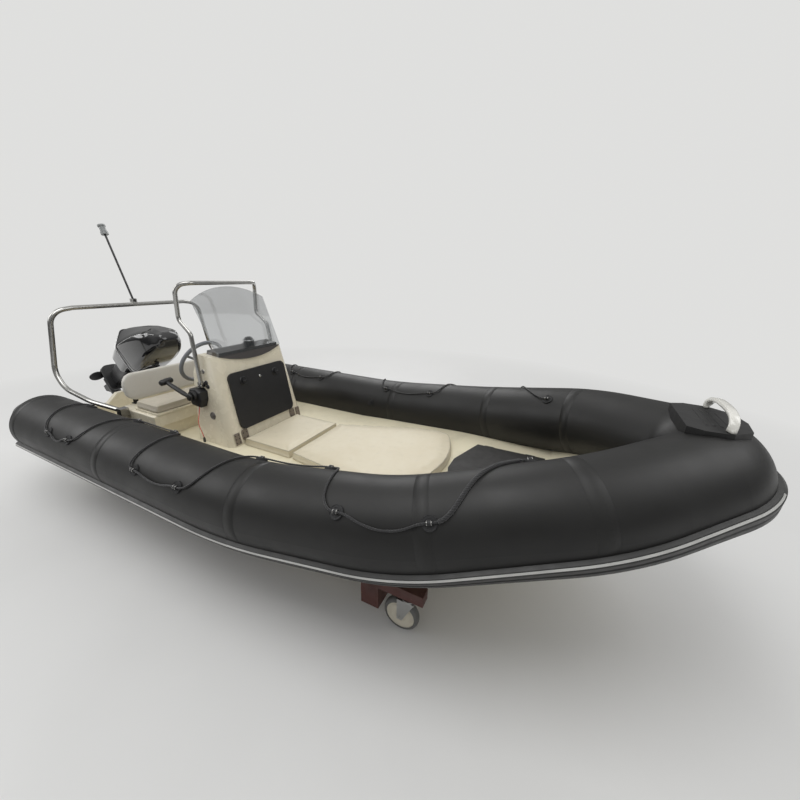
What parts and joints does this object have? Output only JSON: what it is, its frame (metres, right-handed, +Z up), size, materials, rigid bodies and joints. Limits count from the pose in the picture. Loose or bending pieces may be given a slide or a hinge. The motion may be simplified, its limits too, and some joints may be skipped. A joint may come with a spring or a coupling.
{
  "type": "rigid inflatable boat on a wheeled dolly",
  "caption": "Rigid inflatable boat with black collar, centre console, bench, stern arch and tilted outboard, standing on a low castor dolly.",
  "frame": {"origin": "middle of the whole's length and breadth, on the floor that the castors stand on", "axes": "+X forward along the keel, +Y to port, +Z up"},
  "size_m": [5.2677, 2.0126, 2.0134],
  "materials": {
    "tube_fabric": "satin",
    "strake_rubber": "satin",
    "black_rubber": "matte",
    "gelcoat": "gloss",
    "deck_gelcoat": "satin",
    "pad_vinyl": "matte",
    "hatch_black": "matte",
    "door_black": "satin",
    "black_plastic": "satin",
    "ivory_plastic": "satin",
    "dash_grey": "satin",
    "tinted_screen": "gloss",
    "wheel_grey": "satin",
    "steel": "polished",
    "black_metal": "satin",
    "engine_black": "satin",
    "cowl_gloss": "gloss",
    "dolly_red": "satin",
    "bunk_timber": "matte",
    "castor_steel": "brushed",
    "castor_tread": "satin",
    "rope_black": "matte",
    "cord_red": "satin"
  },
  "bodies": {
    "boat": {"collar": "tube_fabric", "rubbing_strake": "strake_rubber", "hull": "gelcoat", "deck": "deck_gelcoat", "transom": "gelcoat", "bow_step": "black_rubber", "bow_handle": "steel", "bow_eye": "steel", "deck_pad_aft": "pad_vinyl", "deck_pad_bow": "pad_vinyl", "hatch_coaming": "deck_gelcoat", "hatch_hinges": "black_plastic", "console": "gelcoat", "door_hinges": "ivory_plastic", "dash": "dash_grey", "compass": "black_plastic", "console_rail": "steel", "windscreen": "tinted_screen", "helm_boss": "black_plastic", "throttle_box": "black_plastic", "throttle_lever": "black_plastic", "bench_locker": "gelcoat", "backrest": "pad_vinyl", "backrest_brackets": "black_metal", "stern_arch": "steel", "mast_clevis": "steel", "clamp_bracket": "engine_black", "dolly_beams": "dolly_red", "dolly_rails": "dolly_red", "bunks": "bunk_timber", "lacing_eyelets": "black_rubber", "grab_line_starboard": "rope_black", "grab_line_port": "rope_black", "kill_cord": "cord_red", "kill_cord_clip": "black_plastic", "inflation_valves": "black_plastic", "towing_eyes": "steel"},
    "hatch": {"bow_hatch": "hatch_black"},
    "door": {"console_door": "door_black", "door_latches": "black_plastic"},
    "helm": {"steering_wheel": "wheel_grey"},
    "seat": {"seat_lid": "gelcoat", "seat_cushion": "pad_vinyl"},
    "mast": {"light_mast": "black_metal", "mast_lamp": "black_plastic"},
    "tilt_bracket": {"swivel_bracket": "engine_black"},
    "motor": {"engine_pan": "engine_black", "engine_cowl": "cowl_gloss", "engine_leg": "engine_black", "gearcase": "engine_black"},
    "screw": {"propeller": "engine_black"},
    "fork_fore_port": {"castor_fork_fore_port": "castor_steel"},
    "wheel_fore_port": {"castor_wheel_fore_port": "castor_tread"},
    "fork_fore_starboard": {"castor_fork_fore_starboard": "castor_steel"},
    "wheel_fore_starboard": {"castor_wheel_fore_starboard": "castor_tread"},
    "fork_aft_port": {"castor_fork_aft_port": "castor_steel"},
    "wheel_aft_port": {"castor_wheel_aft_port": "castor_tread"},
    "fork_aft_starboard": {"castor_fork_aft_starboard": "castor_steel"},
    "wheel_aft_starboard": {"castor_wheel_aft_starboard": "castor_tread"}
  },
  "joints": [
    {"name": "hatch_hinge", "type": "hinge", "parent": "boat", "child": "hatch", "pos_m": [1.35249, 0.31789, 0.5929], "axis": [-0.9889, 0.1295, -0.0726], "range_deg": [0, 80]},
    {"name": "door_hinge", "type": "hinge", "parent": "boat", "child": "door", "pos_m": [-0.20818, 0, 0.58703], "axis": [0, 1, 0], "range_deg": [0, 95]},
    {"name": "helm_turn", "type": "hinge", "parent": "boat", "child": "helm", "pos_m": [-0.6742, -0.15, 1.015], "axis": [-0.891, 0, 0.454], "range_deg": [-540, 540]},
    {"name": "seat_hinge", "type": "hinge", "parent": "boat", "child": "seat", "pos_m": [-1.0472, 0, 0.6793], "axis": [0, -1, 0], "range_deg": [0, 60]},
    {"name": "mast_fold", "type": "hinge", "parent": "boat", "child": "mast", "pos_m": [-1.6972, 0, 1.404], "axis": [0, -1, 0], "range_deg": [-20, 70]},
    {"name": "motor_tilt", "type": "hinge", "parent": "boat", "child": "tilt_bracket", "pos_m": [-1.7112, 0, 0.69], "axis": [0, 1, 0], "range_deg": [-57, 8]},
    {"name": "motor_steer", "type": "hinge", "parent": "tilt_bracket", "child": "motor", "pos_m": [-1.77547, 0, 0.78896], "axis": [0.8387, 0, 0.5446], "range_deg": [-30, 30]},
    {"name": "propeller_spin", "type": "hinge", "parent": "motor", "child": "screw", "pos_m": [-2.52201, 0, 0.61655], "axis": [0.5446, 0, -0.8387], "continuous": true},
    {"name": "swivel_fore_port", "type": "hinge", "parent": "boat", "child": "fork_fore_port", "pos_m": [1.3008, 0.65, 0.215], "axis": [0, 0, 1], "continuous": true},
    {"name": "roll_fore_port", "type": "hinge", "parent": "fork_fore_port", "child": "wheel_fore_port", "pos_m": [1.2628, 0.65, 0.092], "axis": [0, 1, 0], "continuous": true},
    {"name": "swivel_fore_starboard", "type": "hinge", "parent": "boat", "child": "fork_fore_starboard", "pos_m": [1.3008, -0.65, 0.215], "axis": [0, 0, 1], "continuous": true},
    {"name": "roll_fore_starboard", "type": "hinge", "parent": "fork_fore_starboard", "child": "wheel_fore_starboard", "pos_m": [1.2628, -0.65, 0.092], "axis": [0, 1, 0], "continuous": true},
    {"name": "swivel_aft_port", "type": "hinge", "parent": "boat", "child": "fork_aft_port", "pos_m": [-1.3392, 0.65, 0.215], "axis": [0, 0, 1], "continuous": true},
    {"name": "roll_aft_port", "type": "hinge", "parent": "fork_aft_port", "child": "wheel_aft_port", "pos_m": [-1.3772, 0.65, 0.092], "axis": [0, 1, 0], "continuous": true},
    {"name": "swivel_aft_starboard", "type": "hinge", "parent": "boat", "child": "fork_aft_starboard", "pos_m": [-1.3392, -0.65, 0.215], "axis": [0, 0, 1], "continuous": true},
    {"name": "roll_aft_starboard", "type": "hinge", "parent": "fork_aft_starboard", "child": "wheel_aft_starboard", "pos_m": [-1.3772, -0.65, 0.092], "axis": [0, 1, 0], "continuous": true}
  ],
  "couplings": [
    {"joint": "helm_turn", "follows": "motor_steer", "ratio": -18}
  ]
}
